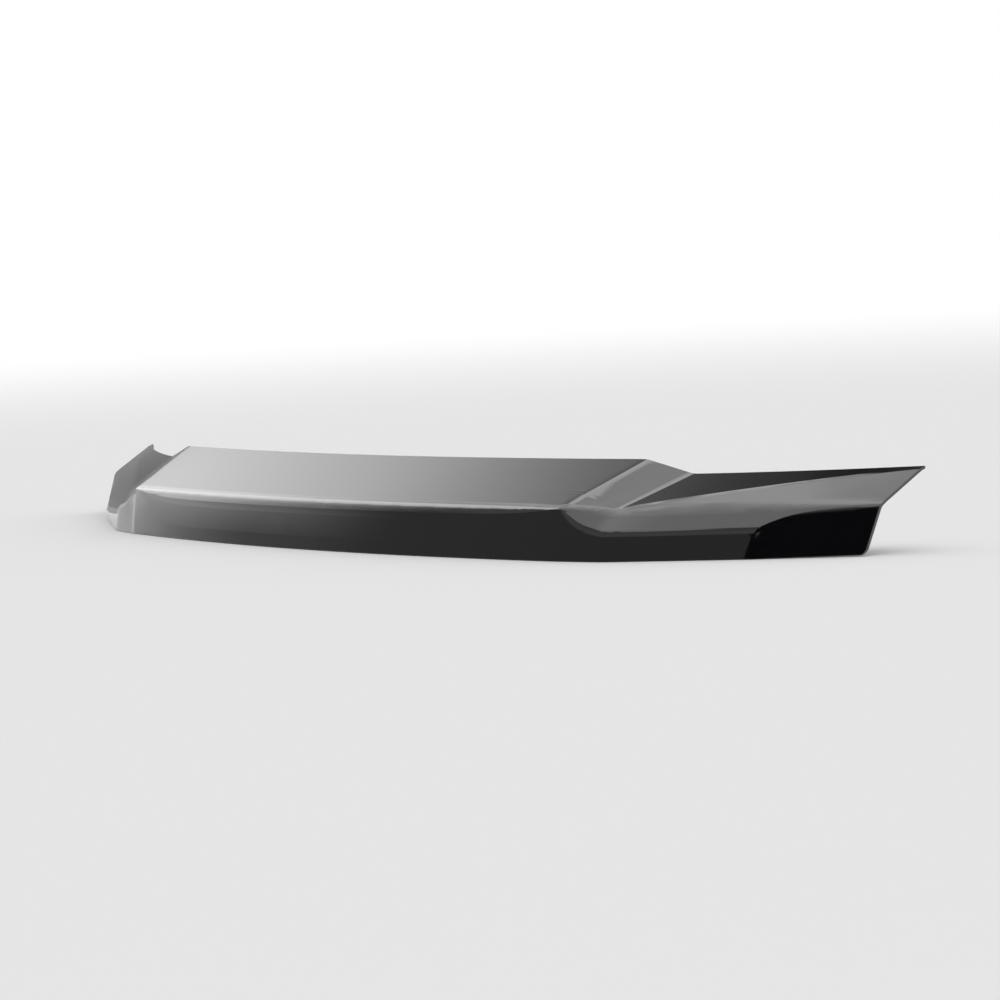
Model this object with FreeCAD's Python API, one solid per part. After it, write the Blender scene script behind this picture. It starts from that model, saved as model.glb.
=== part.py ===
import FreeCAD, Part
import math
import os
from FreeCAD import Vector

# Hood bug deflector, in millimetres. X runs across the vehicle, minus Y is the front and Z is up.
# The origin is the middle of the footprint, level with the bottom edge of the shield.

# Sheet of the shield
wall = 3.2
rim_bevel = 0.8
lower_crease_reach = 4.0
main_crease_reach = 9.0
crest_reach = 3.0
crease_reach_share = 0.45
fold_reach = 8.0
end_overrun = 6.0
curve_degree = 3
centre_shares = (0.0, 0.27, 0.54, 0.81)
band_shares = (0.19, 0.4)
facet_shares = (0.67, 0.78)

# Plan of the shield
foot_y = -145.0
bow_radius = 2300.0
fold_foot_x = 396.0
fold_crease_x = 397.0
fold_rear_x = 426.0
shoulder_foot_x = 452.0
shoulder_crease_x = 450.0
shoulder_rear_x = 483.0
facet_foot_x = 588.0
end_foot_x = 693.0
end_crease_x = 699.0
end_x = 702.0
crease_sag = 4.0
rear_sag = 11.0

# Raised centre section
front_height = 57.0
front_lean = 11.0
top_depth = 102.0
top_height = 100.5
front_bulge = 1.2
front_line_share = 0.5
front_line_reach = 13.0
fold_line_share = 0.96
top_line_share = 0.3

# Step down from the centre section to each wing
shoulder_foot_y = -96.0
shoulder_crease_y = -66.0
shoulder_crease_height = 52.5
shoulder_rear_y = 21.0
shoulder_rear_height = 84.5

# Outer end of each wing
end_foot_y = 52.0
end_foot_height = 1.5
end_crease_y = 78.0
end_crease_height = 54.5
end_rear_y = 143.0
end_rear_height = 86.3
end_corner_radius = 9.0

# Upright band along the foot of the wing, under a chamfer that rises to the main crease
band_height = 30.3
band_setback = 5.5
step_rise = 5.0

# Facet cut across the band and the chamfer, with a curved edge that starts at the foot.
# Its shares are of the way along the wing, but for the edge share, which is of the crease's height.
facet_foot_y = -17.0
facet_fold_reach = 0.016
facet_edge_lag = 0.039
facet_edge_share = 0.93
facet_edge_power = 4.0

# Crest line of the wing, where its steeper shelf meets the flatter strip along the rear edge
crest_start = 0.06
crest_end = 0.9
crest_sag = 8.0
crest_bulge = 2.2
crest_end_rise = 1.5

# Mounting tabs, moulded on the inside of the front wall
tab_places = (110.0, 300.0, 520.0)
tab_width = 36.0
tab_reach = 31.0
tab_height = 9.5
tab_thickness = 3.2
tab_corner = 9.0
tab_hole_radius = 3.4
tab_hole_setback = 17.0
tab_root = 1.6
rib_thickness = 2.4
rib_reach = 13.0
rib_height = 6.5
rib_spread = 13.0
rib_lean = 1.9

# Fasteners
screw_radius = 3.0
screw_length = 20.0
head_across_flats = 10.0
head_height = 4.0
nut_flange_width = 16.0
nut_flange_height = 2.0
nut_shank_radius = 4.75
nut_shank_length = 12.0
nut_slot_width = 1.4
thread_clearance = 0.05

# Soft pads under the rear edge
pad_places = (75.0, 225.0, 370.0, 580.0)
pad_length = 24.0
pad_width = 12.0
pad_height = 6.0
pad_corner = 2.5
pad_setback = 17.0
pad_gap = 0.35


def mix(a, b, share):
    return a + (b - a) * share


def bowed(x, y_middle):
    return y_middle + x * x / (2.0 * bow_radius)


def sagged(a, b, share, sag, dip=0.0):
    """A point on the line from a to b, pushed forward and down most at half way."""
    most = 4.0 * share * (1.0 - share)
    return mix(a, b, share) - Vector(0, sag * most, dip * most)


def centre_station(share, line_share=front_line_share, bulge=front_bulge):
    """Foot, lower crease, main crease, crest and rear edge, at a share of the way to the fold."""
    foot = Vector(fold_foot_x * share, bowed(fold_foot_x * share, foot_y), 0)
    crease_x = fold_crease_x * share
    crease = Vector(crease_x, bowed(crease_x, foot_y + front_lean), front_height)
    rear_x = fold_rear_x * share
    rear = Vector(rear_x, bowed(rear_x, foot_y + front_lean + top_depth), top_height)
    return [foot, mix(foot, crease, line_share) - Vector(0, bulge, 0), crease,
            mix(crease, rear, top_line_share), rear]


def facet_start():
    """The share of the way along the wing where the facet starts at the foot."""
    return (facet_foot_x - shoulder_foot_x) / (end_foot_x - shoulder_foot_x)


def band_foot(share):
    """The foot of the wing as if the band ran on straight to the outer end."""
    start = Vector(shoulder_foot_x, shoulder_foot_y, 0)
    corner = Vector(facet_foot_x, facet_foot_y, 0)
    return mix(start, corner, share / facet_start())


def wing_foot(share):
    if share < facet_start():
        return band_foot(share)
    corner = Vector(facet_foot_x, facet_foot_y, 0)
    end = Vector(end_foot_x, end_foot_y, end_foot_height)
    return mix(corner, end, (share - facet_start()) / (1.0 - facet_start()))


def wing_crease(share):
    start = Vector(shoulder_crease_x, shoulder_crease_y, shoulder_crease_height)
    end = Vector(end_crease_x, end_crease_y, end_crease_height)
    return sagged(start, end, share, crease_sag)


def band_top(share):
    return band_foot(share) + Vector(0, band_setback, band_height)


def facet_top(share):
    """A point of the facet's curved edge, which climbs the chamfer towards the main crease."""
    low = band_top(share)
    high = wing_crease(share)
    left = min(1.0, (1.0 - share) / (1.0 - facet_start()))
    height = facet_edge_share * math.sqrt(1.0 - max(left, 0.0) ** facet_edge_power) * high.z
    return mix(low, high, max(0.0, (height - low.z) / (high.z - low.z)))


def wing_station(share, lag=0.0):
    """The same five points, at a share of the way from the shoulder to the outer end.

    A lag takes the foot from nearer the shoulder, so that the fold where the facet starts can slant.
    """
    crease_in = wing_crease(0.0)
    crease_out = wing_crease(1.0)
    rear_in = Vector(shoulder_rear_x, shoulder_rear_y, shoulder_rear_height)
    rear_out = Vector(end_x, end_rear_y, end_rear_height)
    crest_in = mix(crease_in, rear_in, crest_start)
    crest_out = mix(crease_out, rear_out, crest_end) + Vector(0, 0, crest_end_rise)
    crest = sagged(crest_in, crest_out, share, crest_sag, -crest_bulge)
    rear = sagged(rear_in, rear_out, share, rear_sag)
    on_band = share < facet_start() + facet_edge_lag
    lower = band_top(share) if on_band else facet_top(share)
    return [wing_foot(share - lag), lower, wing_crease(share), crest, rear]


def step_station(before, after):
    """Half way down the step from the centre section to the wing, where the chamfer is almost full height."""
    points = [mix(a, b, 0.5) for a, b in zip(before, after)]
    points[1] = points[0] + Vector(0, band_setback, band_height + step_rise)
    return points


def at_fold(before, corner, after):
    """Three close stations in place of one, so that the surface turns within the reach of a fold."""
    inner = [c + (b - c).normalize() * fold_reach for b, c in zip(before, corner)]
    outer = [c + (a - c).normalize() * fold_reach for a, c in zip(after, corner)]
    return [inner, corner, outer]


def stations():
    centre = [centre_station(share) for share in centre_shares]
    fold = centre_station(1.0, fold_line_share, 0.0)
    shoulder = wing_station(0.0)
    step = step_station(fold, shoulder)
    band = [wing_station(share) for share in band_shares]
    turn = facet_start() + facet_edge_lag
    slanted = [wing_station(turn + reach, facet_edge_lag)
               for reach in (-facet_fold_reach, 0.0, facet_fold_reach)]
    past_end = 1.0 + end_overrun / (end_x - shoulder_foot_x)
    facet = [wing_station(share) for share in facet_shares + (past_end,)]
    right = centre + at_fold(centre[-1], fold, step) + [step] + at_fold(step, shoulder, band[0])
    right += band + slanted + facet
    left = [[Vector(-p.x, p.y, p.z) for p in station] for station in reversed(right[1:])]
    return left + right


def facet_normals(row, nets):
    """Outward normals of the flats of one section."""
    here = nets[row]
    before = nets[max(row - 1, 0)]
    after = nets[min(row + 1, len(nets) - 1)]
    normals = []
    for k in range(len(here) - 1):
        along = (after[k] + after[k + 1] - before[k] - before[k + 1])
        normals.append(along.cross(here[k + 1] - here[k]).normalize())
    return normals


def start_of_crease(flat, reach):
    """How far along a flat the rounding of a crease reaches, short of the middle of the flat."""
    return flat * min(reach / flat.Length, crease_reach_share)


def crease_reaches(foot):
    """How far each crease is rounded: on the centre section the lower one is only a broad bulge."""
    lower = front_line_reach if abs(foot.x) < fold_foot_x - fold_reach else lower_crease_reach
    return lower, main_crease_reach, crest_reach


def section(row, nets, depth):
    """Control points across the sheet at one station, sunk by a depth under the outer surface."""
    here = nets[row]
    normals = facet_normals(row, nets)
    sunk = here[0] - normals[0] * depth
    up = here[1] - here[0]
    poles = [sunk + up * ((here[0].z + rim_bevel - sunk.z) / up.z)]
    for k, reach in enumerate(crease_reaches(here[0]), 1):
        corner = here[k]
        back = here[k - 1] - corner
        ahead = here[k + 1] - corner
        poles.append(corner + start_of_crease(back, reach) - normals[k - 1] * depth)
        both = normals[k - 1] + normals[k]
        poles.append(corner - both * (depth / (1.0 + normals[k - 1].dot(normals[k]))))
        poles.append(corner + start_of_crease(ahead, reach) - normals[k] * depth)
    inboard = (here[-2] - here[-1]).normalize()
    poles.append(here[-1] + inboard * rim_bevel - normals[-1] * depth)
    return poles


def strip(rows):
    """A face along the shield: straight across between two rows, rounded across between three."""
    across = len(rows) - 1
    spans = len(rows[0]) - curve_degree
    mults = [curve_degree + 1] + [1] * (spans - 1) + [curve_degree + 1]
    surface = Part.BSplineSurface()
    surface.buildFromPolesMultsKnots(rows, [across + 1] * 2, mults, [0, 1], list(range(spans + 1)),
                                     False, False, across, curve_degree)
    return surface.toShape()


def skin_rows(depth):
    """Rows of control points along the shield, from the foot to the rear edge."""
    nets = stations()
    sections = [section(row, nets, depth) for row in range(len(nets))]
    return [list(row) for row in zip(*sections)]


def groups(rows):
    """The rows taken face by face: two for each flat, three for each rounded crease."""
    faces = [rows[0:2]]
    for k in range(1, len(rows) - 1, 3):
        faces += [rows[k:k + 3], rows[k + 2:k + 4]]
    return faces


def skin_faces(rows):
    return [strip(group) for group in groups(rows)]


def rim_rows(outer, inner, past):
    """Rows from the outer to the inner skin around the edge that both share, bevelled on both sides."""
    face_out = []
    face_in = []
    for a, b, step in zip(outer, inner, past):
        across = (b - a).normalize() * rim_bevel
        face_out.append(a + step + across)
        face_in.append(b + step - across)
    return [outer, face_out, face_in, inner]


def rims(outer, inner):
    """The rim along the foot, which ends level, and the rim along the rear edge."""
    down = [(a - c) * (rim_bevel / (c - a).z) for a, c in zip(outer[0], outer[1])]
    back = [(a - c).normalize() * rim_bevel for a, c in zip(outer[-1], outer[-2])]
    return [rim_rows(outer[0], inner[0], down), rim_rows(outer[-1], inner[-1], back)]


def end_cap(outer, inner, end):
    """A closing face between the two skins at one end, or between the rows of a rim."""
    across = len(outer) - 1
    surface = Part.BSplineSurface()
    surface.buildFromPolesMultsKnots([[row[end] for row in outer], [row[end] for row in inner]],
                                     [2, 2], [across + 1] * 2, [0, 1], [0, 1], False, False, 1, across)
    return surface.toShape()


def rim_cap(rows, end):
    """The flat between a rim and the ends of the two skins, at one end."""
    corners = [row[end] for row in rows]
    return Part.Face(Part.makePolygon(corners + corners[:1]))


def sheet():
    """The closed sheet, a little too long at both ends."""
    outer = skin_rows(0.0)
    inner = skin_rows(wall)
    faces = skin_faces(outer) + skin_faces(inner)
    for rows in rims(outer, inner):
        faces += [strip(rows[k:k + 2]) for k in range(len(rows) - 1)]
    for end in (0, -1):
        faces += [end_cap(a, b, end) for a, b in zip(groups(outer), groups(inner))]
        faces += [rim_cap(rows, end) for rows in rims(outer, inner)]
    shell = Part.makeShell(faces)
    shell.sewShape()
    return Part.makeSolid(shell)


def slab():
    """A long block that keeps what lies between two slanted end planes, with rounded lower corners."""
    depth = 4.0 * end_rear_y
    top = 2.0 * top_height
    top_x = mix(end_foot_x, end_x, top / end_rear_height)
    corners = [Vector(-end_foot_x, -depth / 2.0, 0), Vector(end_foot_x, -depth / 2.0, 0),
               Vector(top_x, -depth / 2.0, top), Vector(-top_x, -depth / 2.0, top)]
    block = Part.Face(Part.makePolygon(corners + corners[:1])).extrude(Vector(0, depth, 0))
    lower_ends = [e for e in block.Edges if e.Length > depth - 1.0 and e.CenterOfMass.z < 1.0]
    return block.makeFillet(end_corner_radius, lower_ends)


def touch(faces, probe):
    """Where a straight probe meets the inner skin, and the outward normal there."""
    best = min(faces, key=lambda face: face.distToShape(probe)[0])
    point = best.distToShape(probe)[1][0][0]
    inward = best.normalAt(*best.Surface.parameter(point))
    return point, -inward


def front_to_back(x, z):
    return Part.makeLine(Vector(x, -2.0 * end_rear_y, z), Vector(x, 2.0 * end_rear_y, z))


def tab_frame(faces, x):
    """The place of a tab: its root in the wall, turned to stand square to the wall in plan."""
    root, normal = touch(faces, front_to_back(x, tab_height))
    turn = math.degrees(math.atan2(normal.x, -normal.y))
    return FreeCAD.Placement(root, FreeCAD.Rotation(Vector(0, 0, 1), turn))


def tab():
    """One mounting tab in its own frame: the wall is at the origin and plus Y is behind it."""
    plate = Part.makeBox(tab_width, tab_root + tab_reach, tab_thickness,
                         Vector(-tab_width / 2.0, -tab_root, 0))
    free_corners = [e for e in plate.Edges
                    if abs(e.Length - tab_thickness) < 1e-6 and e.CenterOfMass.y > tab_reach / 2.0]
    plate = plate.makeFillet(tab_corner, free_corners)
    hole = Part.makeCylinder(tab_hole_radius, tab_thickness, Vector(0, tab_hole_setback, 0))
    return plate.cut(hole).fuse([rib(side * rib_spread) for side in (-1, 1)])


def rib(x):
    """A three-cornered rib on top of a tab, standing against the wall."""
    left = x - rib_thickness / 2.0
    corners = [Vector(left, -tab_root, tab_thickness), Vector(left, rib_reach, tab_thickness),
               Vector(left, rib_lean - tab_root, tab_thickness + rib_height)]
    return Part.Face(Part.makePolygon(corners + corners[:1])).extrude(Vector(rib_thickness, 0, 0))


def screw():
    """A hexagon-headed screw that points up, its head's seat at the origin."""
    to_corner = head_across_flats / math.sqrt(3.0)
    corners = [Vector(to_corner * math.cos(turn), to_corner * math.sin(turn), -head_height)
               for turn in (side * math.pi / 3.0 for side in range(6))]
    head = Part.Face(Part.makePolygon(corners + corners[:1])).extrude(Vector(0, 0, head_height))
    return head.fuse(Part.makeCylinder(screw_radius, screw_length)).removeSplitter()


def expansion_nut():
    """A square-flanged nylon nut that stands on the origin, split so that the screw can spread it."""
    half = nut_flange_width / 2.0
    height = nut_flange_height + nut_shank_length
    flange = Part.makeBox(nut_flange_width, nut_flange_width, nut_flange_height, Vector(-half, -half, 0))
    shank = Part.makeCylinder(nut_shank_radius, height)
    bore = Part.makeCylinder(screw_radius + thread_clearance, height)
    slot = Part.makeBox(nut_slot_width, nut_flange_width, nut_shank_length,
                        Vector(-nut_slot_width / 2.0, -half, nut_flange_height))
    return flange.fuse(shank).cut([bore, slot]).removeSplitter()


def pad():
    """A rubber pad that hangs down from the origin, long across the vehicle."""
    block = Part.makeBox(pad_length, pad_width, pad_height,
                         Vector(-pad_length / 2.0, -pad_width / 2.0, -pad_height))
    upright = [e for e in block.Edges if abs(e.Length - pad_height) < 1e-6]
    return block.makeChamfer(pad_corner, upright)


def rear_y(x):
    """How far back the rear edge of the sheet lies at a distance from the middle."""
    line = [station[-1] for station in stations()]
    for a, b in zip(line, line[1:]):
        if a.x <= x <= b.x:
            return mix(a.y, b.y, (x - a.x) / (b.x - a.x))


def pad_frame(faces, x):
    """The place of a pad: flat under the sheet, behind a thin film of adhesive, along the rear edge."""
    y = rear_y(x) - pad_setback
    upwards = Part.makeLine(Vector(x, y, top_height / 3.0), Vector(x, y, 2.0 * top_height))
    seat, normal = touch(faces, upwards)
    along = Vector(2.0, rear_y(x + 1.0) - rear_y(x - 1.0), 0)
    turn = FreeCAD.Rotation(along, normal.cross(along), normal, "ZXY")
    return FreeCAD.Placement(seat - normal * pad_gap, turn)


def placed(shape, frame, lift=0.0):
    moved = shape.copy()
    moved.translate(Vector(0, 0, lift))
    moved.Placement = frame.multiply(moved.Placement)
    return moved


def both_sides(places):
    return [-x for x in reversed(places)] + list(places)


def parts():
    faces = skin_faces(skin_rows(wall))
    tab_frames = [tab_frame(faces, x) for x in both_sides(tab_places)]
    tabs = [placed(tab(), frame) for frame in tab_frames]
    trimmed = sheet().common(slab())
    built = {"shield": trimmed.fuse(tabs).removeSplitter().Solids[0]}
    for number, frame in enumerate(tab_frames, 1):
        hole = FreeCAD.Placement(frame.multVec(Vector(0, tab_hole_setback, 0)), frame.Rotation)
        built["screw_%d" % number] = placed(screw(), hole)
        built["expansion_nut_%d" % number] = placed(expansion_nut(), hole, tab_thickness)
    for number, x in enumerate(both_sides(pad_places), 1):
        built["rubber_pad_%d" % number] = placed(pad(), pad_frame(faces, x))
    return built


def main():
    os.makedirs("parts", exist_ok=True)
    for name, shape in parts().items():
        shape.exportStep("parts/%s.step" % name)


main()
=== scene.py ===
import math

import bpy
from mathutils import Matrix, Vector


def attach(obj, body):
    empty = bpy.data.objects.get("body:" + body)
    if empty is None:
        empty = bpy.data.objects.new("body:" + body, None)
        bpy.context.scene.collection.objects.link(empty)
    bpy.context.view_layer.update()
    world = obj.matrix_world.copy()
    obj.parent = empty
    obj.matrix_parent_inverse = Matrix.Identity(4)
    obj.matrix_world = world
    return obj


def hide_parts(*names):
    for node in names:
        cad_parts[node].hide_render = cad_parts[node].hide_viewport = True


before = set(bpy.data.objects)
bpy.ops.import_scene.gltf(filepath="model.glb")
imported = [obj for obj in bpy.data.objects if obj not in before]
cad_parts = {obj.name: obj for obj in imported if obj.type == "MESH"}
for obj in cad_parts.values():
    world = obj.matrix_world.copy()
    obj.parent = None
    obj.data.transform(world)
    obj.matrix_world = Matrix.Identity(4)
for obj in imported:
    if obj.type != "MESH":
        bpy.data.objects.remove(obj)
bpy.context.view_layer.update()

# The camera stands where the photograph was taken from, with a longer lens.
CAMERA_PLACE = Vector((2.808, -2.29106, 0.36005))
CAMERA_AIM = Vector((-0.74987, 0.65557, -0.08901))
CAMERA_UP = Vector((-0.02995, 0.10076, 0.99446))
CAMERA_LENS = 110.0
CAMERA_REACH = 200.0

# How bright the parts of the studio are, where 1 is the white backdrop. A pair goes from low to high,
# or on the panel from front to back.
ROOM = (0.19, 0.02)
LEFT_WALL = (0.87, 0.27)
RIGHT_WALL = 0.9
FRONT_WALL = 0.25
LEFT_GLOW = 1.27
LOW_STRIP = 0.7
BACK_CORNER = 0.38
LEFT_GAP = 0.65
DARK_FLAG = 0.002
PANEL = (1.2, 1.8)
PANEL_LEFT_END = 2.25
PANEL_DIM_END = 1.35
TUBE = 3.0
HIGH_STRIP = 2.15
BACKDROP = 1.0
BACKDROP_RING = 0.03

# The tube light is an arc around this direction.
TUBE_AXIS = (0.299, 0.763, 0.573)

# Sizes from here on are in metres.
FLOOR_SIZE = 80.0
FLOOR_TONE = (0.76, 0.76, 0.76, 1.0)
FLOOR_FADE = (2.0, 7.0)

# The card stands on edge beside the left end, turned to the wing, and its foot reaches towards it.
CARD_MIDDLE = (-0.834, 0.185, 0.101)
CARD_TURN = 78.2
CARD_LENGTH = 0.235
CARD_HEIGHT = 0.2
CARD_FOOT = (0.127, -0.027, 0.0)
CARD_TONE = (0.36, 0.36, 0.36, 1.0)

# Screw: hexagon head with a washer face, 6 mm thread
HEAD_ACROSS = 0.01
HEAD_HEIGHT = 0.004
HEAD_FACE_RADIUS = 0.00475
HEAD_CHAMFER_GROWTH = 0.0069
HEAD_DISH_RIM = 0.0012
HEAD_DISH_DEPTH = 0.0003
WASHER_FACE = 0.0004
WASHER_FACE_RADIUS = 0.0048
WASHER_TAPER = 0.97
SHANK_LENGTH = 0.02
THREAD_RADIUS = 0.00298
THREAD_DEPTH = 0.00058
THREAD_PITCH = 0.001
THREAD_CREST_SHARE = 0.22
THREAD_STEPS = 28
POINT_SHARE = 0.82

# Expansion nut: square flange, shank with three rings and a tapered tip
NUT_FLANGE = 0.016
NUT_FLANGE_HEIGHT = 0.002
NUT_CORNER = 0.0018
NUT_INSET = 0.0004
NUT_EDGE = 0.00032
NUT_ROOT_RADIUS = 0.0044
NUT_RING_RADIUS = 0.00472
NUT_TIP_RADIUS = 0.0037
NUT_NECK = 0.0015
NUT_RING_SLOPE = 0.0004
NUT_RING_WIDTH = 0.0008
NUT_RING_GAPS = (0.0012, 0.0012, 0.0007)
NUT_TIP = 0.0026
NUT_BORE_RADIUS = 0.00305
NUT_SLOT = 0.0014
NUT_SLOT_START = 0.0002

SCREW_COUNT = 6
PAD_COUNT = 8
PAD_ROUNDING = 0.0008

# Heights that differ by less are the same level, and lengths that differ by less are the same.
SAME_LEVEL = 1e-4
HAIR = 1e-5


class Shade:
    """Adds shader nodes to one tree and joins them, with fewer words."""

    def __init__(self, tree):
        self.tree = tree
        self.nodes = tree.nodes
        self.links = tree.links

    def add(self, kind, inputs=None, **settings):
        node = self.nodes.new(kind)
        for name, value in settings.items():
            setattr(node, name, value)
        for name, value in (inputs or {}).items():
            self.set(node.inputs[name], value)
        return node

    def set(self, socket, value):
        if isinstance(value, bpy.types.NodeSocket):
            self.links.new(value, socket)
        else:
            socket.default_value = value

    def math(self, operation, *values):
        node = self.add("ShaderNodeMath", operation=operation)
        for socket, value in zip(node.inputs, values):
            self.set(socket, value)
        return node.outputs[0]

    def vector(self, operation, *values):
        node = self.add("ShaderNodeVectorMath", operation=operation)
        for socket, value in zip(node.inputs, values):
            self.set(socket, value)
        return node.outputs["Value" if operation in ("DOT_PRODUCT", "DISTANCE") else "Vector"]

    def ramp(self, value, low, high, to_low=0.0, to_high=1.0):
        """A smooth step from one value to another."""
        node = self.add("ShaderNodeMapRange", interpolation_type="SMOOTHSTEP")
        for socket, number in zip(node.inputs[:5], (value, low, high, to_low, to_high)):
            self.set(socket, number)
        return node.outputs[0]

    def mix(self, share, a, b):
        node = self.add("ShaderNodeMix", data_type="FLOAT")
        for socket, number in zip(node.inputs[:1] + node.inputs[2:4], (share, a, b)):
            self.set(socket, number)
        return node.outputs[0]


def studio_light():
    """What the black surface mirrors, by direction: a room with soft walls, a dark flag and lights overhead."""
    world = bpy.data.worlds.new("studio")
    bpy.context.scene.world = world
    world.use_nodes = True
    s = Shade(world.node_tree)
    s.nodes.clear()
    place = s.add("ShaderNodeTexCoord").outputs["Generated"]
    x, y, z = s.add("ShaderNodeSeparateXYZ", {"Vector": place}).outputs
    flat = s.vector("NORMALIZE", s.vector("MULTIPLY", place, (1.0, 1.0, 0.0)))

    def between(value, rise, fall):
        """1 from a rise to a fall, each given by where it starts and ends."""
        return s.math("MULTIPLY", s.ramp(value, *rise), s.ramp(value, *fall, 1.0, 0.0))

    def patch(bearing, outer, inner, rise=None, fall=None):
        """1 around a bearing, between a rise and a fall in height, 0 beyond the outer angle.

        A bearing goes from the back towards the right, in degrees, so that the left is -90.
        """
        turn = math.radians(bearing)
        facing = s.vector("DOT_PRODUCT", flat, (math.sin(turn), math.cos(turn), 0.0))
        share = s.ramp(facing, math.cos(math.radians(outer)), math.cos(math.radians(inner)))
        if rise:
            share = s.math("MULTIPLY", share, s.ramp(z, *rise))
        if fall:
            share = s.math("MULTIPLY", share, s.ramp(z, *fall, 1.0, 0.0))
        return share

    # Lights that add up on the walls
    walls = s.ramp(z, 0.43, 1.0, *ROOM)
    for share, level in (
            (patch(bearing=-85.0, outer=37.0, inner=0.0), s.ramp(z, 0.51, 0.69, *LEFT_WALL)),
            (patch(bearing=58.0, outer=96.0, inner=46.0), RIGHT_WALL),
            (patch(bearing=-168.0, outer=40.0, inner=25.0, rise=(0.3, 0.5)), FRONT_WALL),
            (patch(bearing=-97.0, outer=40.0, inner=0.0, rise=(0.013, 0.27)), LEFT_GLOW),
            (patch(bearing=-100.5, outer=6.0, inner=3.0, rise=(0.035, 0.06), fall=(0.075, 0.11)), LOW_STRIP)):
        walls = s.math("MULTIPLY_ADD", share, level, walls)

    # Darker places in front of them
    gap = s.math("MAXIMUM", patch(bearing=-96.0, outer=10.0, inner=6.0, rise=(0.07, 0.12)),
                 patch(bearing=-93.5, outer=7.0, inner=4.0, rise=(0.035, 0.06)))
    gap = s.math("MULTIPLY", gap, s.ramp(z, 0.26, 0.31, 1.0, 0.0))
    for share, level in (
            (patch(bearing=-45.0, outer=54.5, inner=12.5, fall=(0.195, 0.4)), BACK_CORNER),
            (gap, LEFT_GAP),
            (patch(bearing=138.0, outer=24.5, inner=22.0, rise=(0.06, 0.1)), DARK_FLAG)):
        walls = s.mix(share, walls, level)

    # A panel overhead with straight sides: across and along are places on a flat ceiling
    up = s.math("MAXIMUM", z, 0.001)
    across = s.math("DIVIDE", x, up)
    along = s.math("DIVIDE", y, up)
    inside = s.math("MULTIPLY", between(across, (-1.1, -1.0), (0.5, 0.6)),
                    between(along, (-0.77, -0.67), (0.28, 0.38)))
    inside = s.math("MULTIPLY", inside, s.math("GREATER_THAN", z, 0.0))
    panel = s.ramp(along, -0.36, -0.14, *PANEL)
    panel = s.mix(patch(bearing=-97.0, outer=33.0, inner=8.0, rise=(0.938, 0.953)), panel, PANEL_LEFT_END)
    panel = s.mix(patch(bearing=-62.0, outer=42.0, inner=12.0, fall=(0.932, 0.962)), panel, PANEL_DIM_END)

    # A curved tube and a short strip, which the creases mirror as thin lines
    tube = s.math("MULTIPLY", between(s.vector("DOT_PRODUCT", place, TUBE_AXIS), (-0.16, -0.06), (0.14, 0.24)),
                  patch(bearing=-115.0, outer=37.0, inner=27.0, rise=(0.28, 0.36), fall=(0.76, 0.84)))
    strip = patch(bearing=-65.0, outer=9.0, inner=4.0, rise=(0.83, 0.86), fall=(0.925, 0.935))

    level = s.mix(inside, walls, panel)
    level = s.mix(tube, level, TUBE)
    level = s.mix(strip, level, HIGH_STRIP)
    level = s.mix(backdrop_share(s, z), level, BACKDROP)
    background = s.add("ShaderNodeBackground", {"Color": (1.0, 1.0, 1.0, 1.0), "Strength": level})
    output = s.add("ShaderNodeOutputWorld")
    s.links.new(background.outputs[0], output.inputs["Surface"])


def material(name):
    made = bpy.data.materials.new(name)
    made.use_nodes = True
    s = Shade(made.node_tree)
    s.nodes.clear()
    return made, s


def finish_surface(s, **inputs):
    """Gives the material its one surface shader. Input names have an underscore for each space."""
    named = {name.replace("_", " "): value for name, value in inputs.items()}
    shader = s.add("ShaderNodeBsdfPrincipled", named)
    output = s.add("ShaderNodeOutputMaterial")
    s.links.new(shader.outputs[0], output.inputs["Surface"])


def effect(name, inputs, outputs):
    """An empty group of shader nodes, with its inputs' usual values and its outputs' names."""
    tree = bpy.data.node_groups.new(name, "ShaderNodeTree")
    for label, value in inputs.items():
        kind = "NodeSocketVector" if label == "Place" else "NodeSocketFloat"
        socket = tree.interface.new_socket(label, in_out="INPUT", socket_type=kind)
        if value is not None:
            socket.default_value = value
    for label in outputs:
        tree.interface.new_socket(label, in_out="OUTPUT", socket_type="NodeSocketFloat")
    s = Shade(tree)
    return s, s.add("NodeGroupInput").outputs, s.add("NodeGroupOutput")


def place_effect(s, tree, **values):
    """Puts an effect in a material with its own values, and returns the effect's outputs."""
    node = s.add("ShaderNodeGroup", node_tree=tree)
    for name, value in values.items():
        s.set(node.inputs[name.replace("_", " ")], value)
    return node.outputs


def polish_effect():
    """Roughness that drifts in soft clouds, with faint hairlines from wiping."""
    s, given, out = effect("polish", {"Place": None, "Smooth": 0.05, "Dull": 0.1, "Cloud Scale": 8.0,
                                      "Hairlines": 0.02}, ["Roughness"])
    cloud = s.add("ShaderNodeTexNoise", {"Vector": given["Place"], "Scale": given["Cloud Scale"],
                                         "Detail": 4.0}).outputs["Fac"]
    base = s.ramp(cloud, 0.3, 0.7, given["Smooth"], given["Dull"])
    stretched = s.vector("MULTIPLY", given["Place"], (6.0, 260.0, 260.0))
    lines = s.add("ShaderNodeTexNoise", {"Vector": stretched, "Scale": 4.0, "Detail": 2.0}).outputs["Fac"]
    fine = s.math("MULTIPLY", s.ramp(lines, 0.62, 0.74), given["Hairlines"])
    s.set(out.inputs["Roughness"], s.math("ADD", base, fine))
    return s.tree


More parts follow.
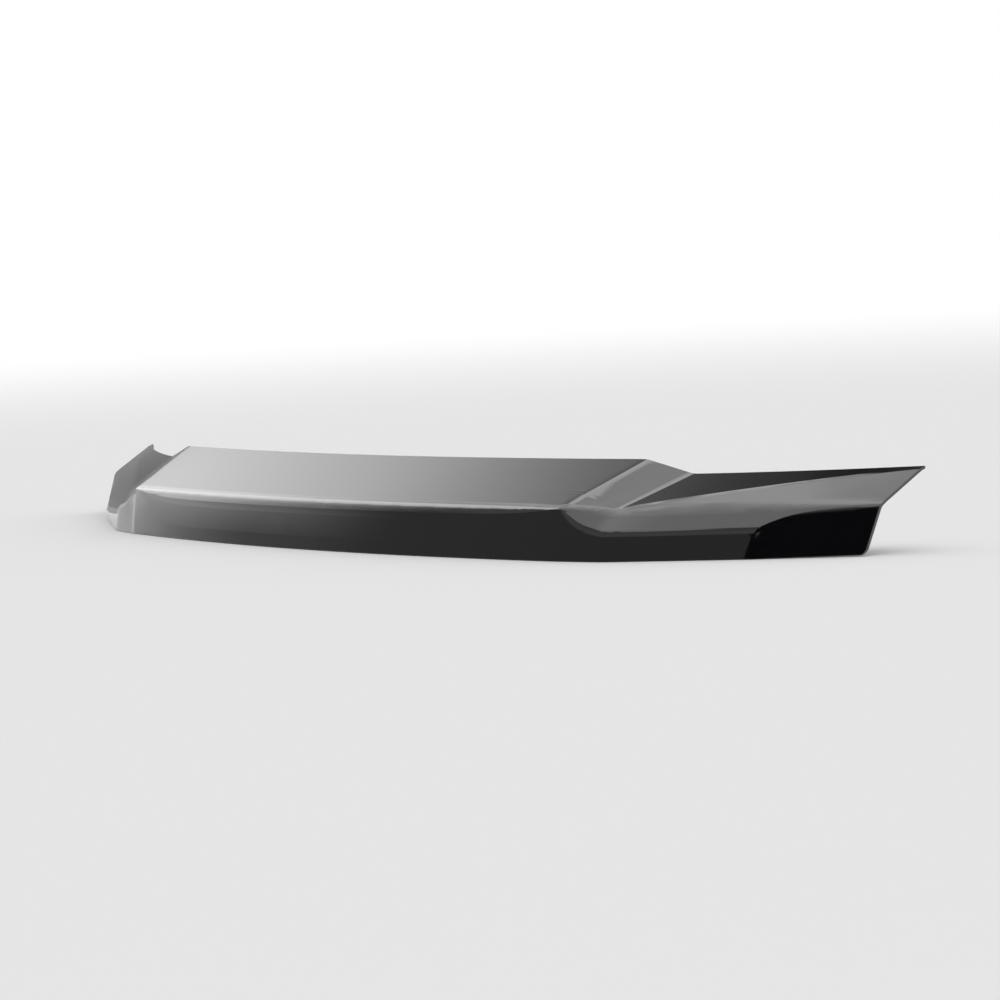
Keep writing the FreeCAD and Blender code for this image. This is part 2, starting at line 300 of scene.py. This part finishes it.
def ripple_effect():
    """The slight waviness that moulding leaves, under a much finer grain."""
    s, given, out = effect("ripple", {"Place": None, "Wave Scale": 40.0, "Grain Scale": 900.0,
                                      "Grain Share": 0.1}, ["Height"])
    waves = s.add("ShaderNodeTexNoise", {"Vector": given["Place"], "Scale": given["Wave Scale"],
                                         "Detail": 1.0}).outputs["Fac"]
    grain = s.add("ShaderNodeTexNoise", {"Vector": given["Place"], "Scale": given["Grain Scale"],
                                         "Detail": 2.0}).outputs["Fac"]
    s.set(out.inputs["Height"], s.mix(given["Grain Share"], waves, grain))
    return s.tree


def worn_edge_effect():
    """1 along edges and corners, broken up by patches, 0 on the flats."""
    s, given, out = effect("worn edge", {"Place": None, "Patch Scale": 30.0}, ["Worn"])
    rounded = s.add("ShaderNodeBevel", {"Radius": 0.0008}, samples=6).outputs[0]
    flat = s.add("ShaderNodeNewGeometry").outputs["Normal"]
    turned = s.ramp(s.vector("DOT_PRODUCT", rounded, flat), 0.8, 0.99, 1.0, 0.0)
    patches = s.add("ShaderNodeTexNoise", {"Vector": given["Place"], "Scale": given["Patch Scale"],
                                           "Detail": 3.0}).outputs["Fac"]
    s.set(out.inputs["Worn"], s.math("MULTIPLY", turned, s.ramp(patches, 0.35, 0.6, 0.35, 1.0)))
    return s.tree


def dust_effect():
    """Fine specks, thicker on what faces up."""
    s, given, out = effect("dust", {"Place": None, "Speck Scale": 700.0, "Amount": 0.5}, ["Dust"])
    specks = s.add("ShaderNodeTexVoronoi", {"Vector": given["Place"], "Scale": given["Speck Scale"]})
    speck = s.ramp(specks.outputs["Distance"], 0.08, 0.2, 1.0, 0.0)
    drift = s.add("ShaderNodeTexNoise", {"Vector": given["Place"], "Scale": 14.0, "Detail": 5.0}).outputs["Fac"]
    facing = s.add("ShaderNodeSeparateXYZ", {"Vector": s.add("ShaderNodeNewGeometry").outputs["Normal"]})
    settled = s.ramp(facing.outputs[2], -0.2, 0.9, 0.1, 1.0)
    amount = s.math("MULTIPLY", s.math("MULTIPLY", speck, s.ramp(drift, 0.45, 0.7)), settled)
    s.set(out.inputs["Dust"], s.math("MULTIPLY", amount, given["Amount"]))
    return s.tree


def tint(s, share, a, b):
    """A colour between two, by a share."""
    node = s.add("ShaderNodeMix", data_type="RGBA", clamp_factor=True)
    s.set(node.inputs[0], share)
    s.set(node.inputs[6], a)
    s.set(node.inputs[7], b)
    return node.outputs[2]


def object_place(s):
    return s.add("ShaderNodeTexCoord").outputs["Object"]


def smoked_acrylic(effects):
    made, s = material("smoked acrylic")
    place = object_place(s)
    roughness = place_effect(s, effects["polish"], Place=place, Smooth=0.05, Dull=0.085, Cloud_Scale=9.0,
                             Hairlines=0.015)["Roughness"]
    height = place_effect(s, effects["ripple"], Place=place, Wave_Scale=45.0, Grain_Share=0.03)["Height"]
    worn = place_effect(s, effects["worn edge"], Place=place, Patch_Scale=25.0)["Worn"]
    dust = place_effect(s, effects["dust"], Place=place, Speck_Scale=900.0, Amount=0.25)["Dust"]
    black, scuffed, dusty = (0.004, 0.004, 0.005, 1.0), (0.03, 0.031, 0.034, 1.0), (0.25, 0.24, 0.22, 1.0)
    colour = tint(s, dust, tint(s, worn, black, scuffed), dusty)
    duller = s.math("MULTIPLY_ADD", dust, 0.3, s.math("MULTIPLY_ADD", worn, 0.08, roughness))
    bump = s.add("ShaderNodeBump", {"Height": height, "Strength": 0.02, "Distance": 0.001})
    finish_surface(s, Base_Color=colour, Roughness=duller, IOR=1.57, Normal=bump.outputs[0],
                   Coat_Weight=1.0, Coat_Roughness=0.05, Coat_IOR=1.5)
    return made


def zinc_plate(effects):
    made, s = material("zinc plated steel")
    place = object_place(s)
    roughness = place_effect(s, effects["polish"], Place=place, Smooth=0.24, Dull=0.38, Cloud_Scale=160.0,
                             Hairlines=0.08)["Roughness"]
    height = place_effect(s, effects["ripple"], Place=place, Wave_Scale=500.0, Grain_Scale=2600.0,
                          Grain_Share=0.5)["Height"]
    worn = place_effect(s, effects["worn edge"], Place=place, Patch_Scale=300.0)["Worn"]
    flakes = s.add("ShaderNodeTexVoronoi", {"Vector": place, "Scale": 700.0}).outputs["Color"]
    shift = s.add("ShaderNodeSeparateColor", {"Color": flakes}).outputs[0]
    dark_flake, light_flake, rubbed = (0.56, 0.56, 0.53, 1.0), (0.68, 0.67, 0.62, 1.0), (0.42, 0.42, 0.43, 1.0)
    colour = tint(s, worn, tint(s, shift, dark_flake, light_flake), rubbed)
    bump = s.add("ShaderNodeBump", {"Height": height, "Strength": 0.12, "Distance": 0.0004})
    finish_surface(s, Base_Color=colour, Metallic=1.0, Roughness=roughness, Normal=bump.outputs[0])
    return made


def moulded_nylon(effects):
    made, s = material("moulded nylon")
    place = object_place(s)
    roughness = place_effect(s, effects["polish"], Place=place, Smooth=0.42, Dull=0.58, Cloud_Scale=120.0,
                             Hairlines=0.03)["Roughness"]
    height = place_effect(s, effects["ripple"], Place=place, Wave_Scale=300.0, Grain_Scale=3000.0,
                          Grain_Share=0.6)["Height"]
    worn = place_effect(s, effects["worn edge"], Place=place, Patch_Scale=200.0)["Worn"]
    flow = s.add("ShaderNodeTexNoise", {"Vector": place, "Scale": 90.0, "Detail": 3.0}).outputs["Fac"]
    cream, pale, rubbed = (0.7, 0.68, 0.6, 1.0), (0.76, 0.74, 0.67, 1.0), (0.82, 0.81, 0.76, 1.0)
    colour = tint(s, worn, tint(s, s.ramp(flow, 0.35, 0.65), cream, pale), rubbed)
    bump = s.add("ShaderNodeBump", {"Height": height, "Strength": 0.15, "Distance": 0.0004})
    finish_surface(s, Base_Color=colour, Roughness=roughness, IOR=1.53, Normal=bump.outputs[0])
    return made


def cell_rubber(effects):
    made, s = material("cell rubber")
    place = object_place(s)
    cells = s.add("ShaderNodeTexVoronoi", {"Vector": place, "Scale": 1100.0})
    pits = s.ramp(cells.outputs["Distance"], 0.1, 0.5, 0.0, 1.0)
    roughness = place_effect(s, effects["polish"], Place=place, Smooth=0.78, Dull=0.92, Cloud_Scale=90.0,
                             Hairlines=0.0)["Roughness"]
    worn = place_effect(s, effects["worn edge"], Place=place, Patch_Scale=150.0)["Worn"]
    dust = place_effect(s, effects["dust"], Place=place, Speck_Scale=1500.0, Amount=0.6)["Dust"]
    # The pores are darker at their bottoms than the skin around them: painted shade in the pits, where the bump
    # below sinks them.
    painted_pit_shade, skin = (0.011, 0.011, 0.012, 1.0), (0.026, 0.026, 0.027, 1.0)
    rubbed, dusty = (0.06, 0.06, 0.06, 1.0), (0.2, 0.19, 0.17, 1.0)
    colour = tint(s, s.math("MULTIPLY", worn, 0.5), tint(s, pits, painted_pit_shade, skin), rubbed)
    colour = tint(s, dust, colour, dusty)
    bump = s.add("ShaderNodeBump", {"Height": pits, "Strength": 0.6, "Distance": 0.0005})
    finish_surface(s, Base_Color=colour, Roughness=roughness, Specular_IOR_Level=0.3, Normal=bump.outputs[0])
    return made


def backdrop_share(s, upward):
    """Where the white backdrop stands in for the studio: all the camera sees, and a low ring in reflections."""
    path = s.add("ShaderNodeLightPath").outputs
    mirrored = s.math("MAXIMUM", path["Is Glossy Ray"], path["Is Transmission Ray"])
    ring = s.ramp(upward, 0.0, BACKDROP_RING, 1.0, 0.0)
    return s.math("MAXIMUM", path["Is Camera Ray"], s.math("MULTIPLY", mirrored, ring))


def floor():
    """A pale floor that turns into the white backdrop further away, for the camera and in reflections."""
    bpy.ops.mesh.primitive_plane_add(size=FLOOR_SIZE, location=(0.0, 0.0, 0.0))
    ground = bpy.context.object
    ground.name = "floor"
    made, s = material("pale floor")
    plain = s.add("ShaderNodeBsdfPrincipled", {"Base Color": FLOOR_TONE, "Roughness": 0.9,
                                               "Specular IOR Level": 0.0})
    white = s.add("ShaderNodeEmission", {"Color": (1.0, 1.0, 1.0, 1.0), "Strength": BACKDROP})
    path = s.add("ShaderNodeLightPath").outputs
    shown = s.math("MAXIMUM", path["Is Camera Ray"],
                   s.math("MAXIMUM", path["Is Glossy Ray"], path["Is Transmission Ray"]))
    away = s.vector("DISTANCE", object_place(s), (0.0, 0.0, 0.0))
    blend = s.add("ShaderNodeMixShader", {"Fac": s.math("MULTIPLY", shown, s.ramp(away, *FLOOR_FADE))})
    s.links.new(plain.outputs[0], blend.inputs[1])
    s.links.new(white.outputs[0], blend.inputs[2])
    output = s.add("ShaderNodeOutputMaterial")
    s.links.new(blend.outputs[0], output.inputs["Surface"])
    ground.data.materials.append(made)


def dark_card():
    """Stands beside the left end, seen only in reflections, so that the wing there keeps its dark outline."""
    bpy.ops.mesh.primitive_plane_add(size=1.0, location=CARD_MIDDLE,
                                     rotation=(math.radians(90.0), 0.0, math.radians(CARD_TURN)))
    card = bpy.context.object
    card.name = "dark_card"
    card.scale = (CARD_LENGTH, CARD_HEIGHT, 1.0)
    bpy.ops.object.transform_apply(location=True, rotation=True, scale=True)
    bpy.ops.object.mode_set(mode="EDIT")
    choose(card, "VERT", lambda place: place.z < CARD_HEIGHT / 2.0)
    bpy.ops.mesh.extrude_region_move(TRANSFORM_OT_translate={"value": CARD_FOOT})
    bpy.ops.object.mode_set(mode="OBJECT")
    made, s = material("dark card")
    finish_surface(s, Base_Color=CARD_TONE, Roughness=0.9, Specular_IOR_Level=0.0)
    card.data.materials.append(made)
    card.visible_camera = False
    card.visible_diffuse = False
    card.visible_transmission = False
    card.visible_shadow = False


def camera():
    lens = bpy.data.cameras.new("camera")
    lens.lens = CAMERA_LENS
    lens.clip_end = CAMERA_REACH
    body = bpy.data.objects.new("camera", lens)
    bpy.context.scene.collection.objects.link(body)
    back = -CAMERA_AIM.normalized()
    right = CAMERA_UP.cross(back).normalized()
    turn = Matrix((right, back.cross(right), back)).transposed()
    body.matrix_world = Matrix.Translation(CAMERA_PLACE) @ turn.to_4x4()
    bpy.context.scene.camera = body


def choose(part, kind, test):
    """In edit mode, selects only what passes a test: vertices by their place, edges by their two ends,
    faces by their middle and normal."""
    bpy.ops.mesh.select_mode(type=kind)
    bpy.ops.mesh.select_all(action="DESELECT")
    bpy.ops.object.mode_set(mode="OBJECT")
    mesh = part.data
    if kind == "VERT":
        for vertex in mesh.vertices:
            vertex.select = test(vertex.co)
    elif kind == "EDGE":
        for edge in mesh.edges:
            ends = [mesh.vertices[number].co for number in edge.vertices]
            edge.select = test(*ends)
    else:
        for face in mesh.polygons:
            face.select = test(face.center, face.normal)
    bpy.ops.object.mode_set(mode="EDIT")


def apply_modifier(part, kind, **settings):
    modifier = part.modifiers.new(kind.lower(), kind)
    for name, value in settings.items():
        setattr(modifier, name, value)
    bpy.context.view_layer.objects.active = part
    bpy.ops.object.modifier_apply(modifier=modifier.name)


def cut_with(part, tool, operation):
    """Joins a part with a tool, or cuts it by one, and throws the tool away."""
    apply_modifier(part, "BOOLEAN", operation=operation, object=tool, solver="EXACT")
    bpy.data.objects.remove(tool)


def only(part):
    bpy.ops.object.select_all(action="DESELECT")
    part.select_set(True)
    bpy.context.view_layer.objects.active = part


def faces_down(middle, normal):
    return normal.z < -0.9


def faces_up(middle, normal):
    return normal.z > 0.9


def settle(part, angle=30.0):
    """Puts the place in the mesh and smooths all but the sharp edges."""
    only(part)
    bpy.ops.object.transform_apply(location=True, rotation=True, scale=True)
    bpy.ops.object.shade_smooth_by_angle(angle=math.radians(angle))


def screw_head():
    """A chamfered hexagon under a round washer face, its seat at the origin."""
    bpy.ops.mesh.primitive_cone_add(vertices=72, radius1=HEAD_FACE_RADIUS, depth=HEAD_HEIGHT,
                                    radius2=HEAD_FACE_RADIUS + HEAD_CHAMFER_GROWTH,
                                    location=(0.0, 0.0, -HEAD_HEIGHT / 2.0))
    cone = bpy.context.object
    bpy.ops.mesh.primitive_cylinder_add(vertices=6, radius=HEAD_ACROSS / math.sqrt(3.0),
                                        depth=HEAD_HEIGHT - WASHER_FACE,
                                        location=(0.0, 0.0, -(HEAD_HEIGHT + WASHER_FACE) / 2.0))
    head = bpy.context.object
    bpy.ops.object.mode_set(mode="EDIT")
    choose(head, "FACE", faces_down)
    bpy.ops.mesh.inset(thickness=HEAD_DISH_RIM)
    bpy.ops.mesh.inset(thickness=HEAD_DISH_DEPTH, depth=-HEAD_DISH_DEPTH)
    bpy.ops.object.mode_set(mode="OBJECT")
    cut_with(head, cone, "INTERSECT")
    bpy.ops.mesh.primitive_cylinder_add(vertices=48, radius=WASHER_FACE_RADIUS, depth=WASHER_FACE,
                                        location=(0.0, 0.0, -WASHER_FACE / 2.0))
    washer = bpy.context.object
    bpy.ops.object.mode_set(mode="EDIT")
    choose(washer, "FACE", faces_down)
    bpy.ops.transform.resize(value=(WASHER_TAPER, WASHER_TAPER, 1.0))
    bpy.ops.object.mode_set(mode="OBJECT")
    return [head, washer]


def screw_thread():
    """A ridge wound up the shank, cut flat at both ends, with a chamfered point."""
    middle = THREAD_RADIUS - THREAD_PITCH / 2.0
    start = (0.0, 0.0, -THREAD_PITCH)
    bpy.ops.mesh.primitive_plane_add(size=THREAD_PITCH, rotation=(math.radians(90.0), 0.0, 0.0),
                                     location=(middle, 0.0, -THREAD_PITCH))
    thread = bpy.context.object
    bpy.ops.object.transform_apply(location=True, rotation=True, scale=True)
    bpy.ops.object.mode_set(mode="EDIT")
    choose(thread, "VERT", lambda place: place.x > middle)
    bpy.ops.transform.resize(value=(1.0, 1.0, THREAD_CREST_SHARE), center_override=start)
    choose(thread, "VERT", lambda place: place.x < middle)
    bpy.ops.transform.translate(value=(THREAD_PITCH - THREAD_DEPTH, 0.0, 0.0))
    inner = THREAD_RADIUS - THREAD_DEPTH + HAIR
    choose(thread, "EDGE", lambda a, b: max(a.x, b.x) < inner)
    bpy.ops.mesh.delete(type="EDGE")
    bpy.ops.object.mode_set(mode="OBJECT")
    turns = round(SHANK_LENGTH / THREAD_PITCH) + 3
    apply_modifier(thread, "SCREW", screw_offset=THREAD_PITCH, iterations=turns, steps=THREAD_STEPS,
                   render_steps=THREAD_STEPS, use_merge_vertices=True, merge_threshold=1e-6)
    bpy.ops.object.mode_set(mode="EDIT")
    bpy.ops.mesh.select_all(action="SELECT")
    bpy.ops.mesh.remove_doubles(threshold=2e-6)
    for height, upper in ((0.0, False), (SHANK_LENGTH, True)):
        bpy.ops.mesh.select_all(action="SELECT")
        bpy.ops.mesh.bisect(plane_co=(0.0, 0.0, height), plane_no=(0.0, 0.0, 1.0), use_fill=True,
                            clear_outer=upper, clear_inner=not upper)
    choose(thread, "VERT", lambda place: place.z > SHANK_LENGTH - HAIR)
    bpy.ops.transform.resize(value=(POINT_SHARE, POINT_SHARE, 1.0), center_override=(0.0, 0.0, SHANK_LENGTH))
    bpy.ops.mesh.select_all(action="SELECT")
    bpy.ops.mesh.normals_make_consistent(inside=False)
    bpy.ops.object.mode_set(mode="OBJECT")
    return thread


def screw():
    parts = screw_head()
    thread = screw_thread()
    only(thread)
    for part in parts:
        part.select_set(True)
    bpy.ops.object.join()
    settle(thread)
    return thread


def nut_profile():
    """The rise and the new radius of each step up the nut's shank: a neck, three rings and the tapered end."""
    steps = [(NUT_NECK, NUT_ROOT_RADIUS)]
    for gap in NUT_RING_GAPS:
        steps += [(NUT_RING_SLOPE, NUT_RING_RADIUS), (NUT_RING_WIDTH, NUT_RING_RADIUS),
                  (NUT_RING_SLOPE, NUT_ROOT_RADIUS), (gap, NUT_ROOT_RADIUS)]
    return steps + [(NUT_TIP, NUT_TIP_RADIUS)]


def nut_flange():
    """A square plate with rounded corners and edges, its underside at the origin."""
    bpy.ops.mesh.primitive_cube_add(size=1.0, scale=(NUT_FLANGE, NUT_FLANGE, NUT_FLANGE_HEIGHT),
                                    location=(0.0, 0.0, NUT_FLANGE_HEIGHT / 2.0))
    flange = bpy.context.object
    bpy.ops.object.transform_apply(location=True, rotation=True, scale=True)
    bpy.ops.object.mode_set(mode="EDIT")
    choose(flange, "EDGE", lambda a, b: abs(a.z - b.z) > NUT_FLANGE_HEIGHT / 2.0)
    bpy.ops.mesh.bevel(offset=NUT_CORNER, segments=6)
    choose(flange, "FACE", lambda middle, normal: abs(normal.z) > 0.9)
    bpy.ops.mesh.inset(thickness=NUT_INSET)
    side = NUT_FLANGE / 2.0 - HAIR
    choose(flange, "EDGE", lambda a, b: max(abs(a.x), abs(a.y), abs(b.x), abs(b.y)) > side
           and abs(a.z - b.z) < HAIR)
    bpy.ops.mesh.bevel(offset=NUT_EDGE, segments=2)
    bpy.ops.object.mode_set(mode="OBJECT")
    return flange


def nut_shank():
    bpy.ops.mesh.primitive_cylinder_add(vertices=48, radius=NUT_ROOT_RADIUS, depth=NUT_FLANGE_HEIGHT,
                                        location=(0.0, 0.0, NUT_FLANGE_HEIGHT / 2.0))
    shank = bpy.context.object
    bpy.ops.object.transform_apply(location=True, rotation=True, scale=True)
    bpy.ops.object.mode_set(mode="EDIT")
    choose(shank, "FACE", faces_up)
    radius = NUT_ROOT_RADIUS
    for rise, wide in nut_profile():
        bpy.ops.mesh.extrude_region_move(TRANSFORM_OT_translate={"value": (0.0, 0.0, rise)})
        bpy.ops.transform.resize(value=(wide / radius, wide / radius, 1.0), center_override=(0.0, 0.0, 0.0))
        radius = wide
    bpy.ops.object.mode_set(mode="OBJECT")
    return shank


def expansion_nut():
    """A square flange with a ringed shank, bored through and split so that it can spread."""
    nut = nut_flange()
    cut_with(nut, nut_shank(), "UNION")
    length = sum(rise for rise, wide in nut_profile())
    top = NUT_FLANGE_HEIGHT + length
    bpy.ops.mesh.primitive_cylinder_add(vertices=48, radius=NUT_BORE_RADIUS, depth=2.0 * top,
                                        location=(0.0, 0.0, top / 2.0))
    cut_with(nut, bpy.context.object, "DIFFERENCE")
    bpy.ops.mesh.primitive_cube_add(size=1.0, scale=(NUT_SLOT, NUT_FLANGE, length),
                                    location=(0.0, 0.0, NUT_FLANGE_HEIGHT + NUT_SLOT_START + length / 2.0))
    slot = bpy.context.object
    bpy.ops.object.transform_apply(location=True, rotation=True, scale=True)
    cut_with(nut, slot, "DIFFERENCE")
    settle(nut)
    return nut


def soft_pad(node, name):
    """A copy of the pad's solid with its edges rounded."""
    pad = bpy.data.objects.new(name, node.data.copy())
    bpy.context.scene.collection.objects.link(pad)
    only(pad)
    pad.matrix_world = node.matrix_world
    bpy.ops.object.transform_apply(location=True, rotation=True, scale=True)
    bpy.ops.object.mode_set(mode="EDIT")
    bpy.ops.mesh.select_all(action="SELECT")
    bpy.ops.mesh.remove_doubles(threshold=1e-6)
    bpy.ops.mesh.dissolve_limited(angle_limit=math.radians(2.0))
    bpy.ops.mesh.customdata_custom_splitnormals_clear()
    bpy.ops.mesh.normals_make_consistent(inside=False)
    bpy.ops.mesh.select_all(action="SELECT")
    bpy.ops.mesh.bevel(offset=PAD_ROUNDING, segments=4)
    bpy.ops.object.mode_set(mode="OBJECT")
    settle(pad, angle=40.0)
    return pad


def seat_of(node):
    """The middle of a node's footprint, its lowest height, and the angle about Z of one bottom corner.

    Of the corners, it is the one that points back and towards the middle of the shield.
    """
    places = [node.matrix_world @ vertex.co for vertex in node.data.vertices]
    xs, ys, heights = zip(*places)
    centre = Vector((min(xs) + max(xs), min(ys) + max(ys))) / 2.0
    lowest = min(heights)
    bottom = [place.xy - centre for place in places if place.z < lowest + SAME_LEVEL]
    reach = max(out.length for out in bottom)
    corners = [out for out in bottom if out.length > reach - HAIR]
    inwards = -1.0 if centre.x > 0.0 else 1.0
    corner = max(corners, key=lambda out: out.y + inwards * out.x)
    return centre, lowest, math.atan2(corner.y, corner.x)


def fasteners(effects):
    """One screw and one nut are made, and a copy of each goes to each mounting tab."""
    kinds = (("screw", screw(), zinc_plate(effects), "screw_steel", HEAD_HEIGHT, 0.0),
             ("expansion_nut", expansion_nut(), moulded_nylon(effects), "nut_nylon", 0.0, 45.0))
    for name, model, finish, slot, seat_rise, corner_angle in kinds:
        model.data.materials.clear()
        model.data.materials.append(finish)
        for number in range(1, SCREW_COUNT + 1):
            node_name = "%s_%d" % (name, number)
            centre, lowest, corner = seat_of(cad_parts[node_name])
            piece = bpy.data.objects.new("%s_piece" % node_name, model.data.copy())
            bpy.context.scene.collection.objects.link(piece)
            piece.location = (centre.x, centre.y, lowest + seat_rise)
            piece.rotation_euler = (0.0, 0.0, corner - math.radians(corner_angle))
            only(piece)
            bpy.ops.object.transform_apply(location=True, rotation=True, scale=True)
            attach(piece, "root")
            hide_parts(node_name)
        bpy.data.objects.remove(model)


def pads(effects):
    finish = cell_rubber(effects)
    for number in range(1, PAD_COUNT + 1):
        node_name = "rubber_pad_%d" % number
        pad = soft_pad(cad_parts[node_name], "%s_piece" % node_name)
        pad.data.materials.clear()
        pad.data.materials.append(finish)
        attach(pad, "root")
        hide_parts(node_name)


def main():
    camera()
    studio_light()
    bpy.context.scene.view_settings.view_transform = "Standard"
    bpy.ops.object.select_all(action="DESELECT")
    floor()
    dark_card()
    effects = {"polish": polish_effect(), "ripple": ripple_effect(), "worn edge": worn_edge_effect(),
               "dust": dust_effect()}
    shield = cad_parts["shield"]
    shield.data.materials.clear()
    shield.data.materials.append(smoked_acrylic(effects))
    fasteners(effects)
    pads(effects)


main()
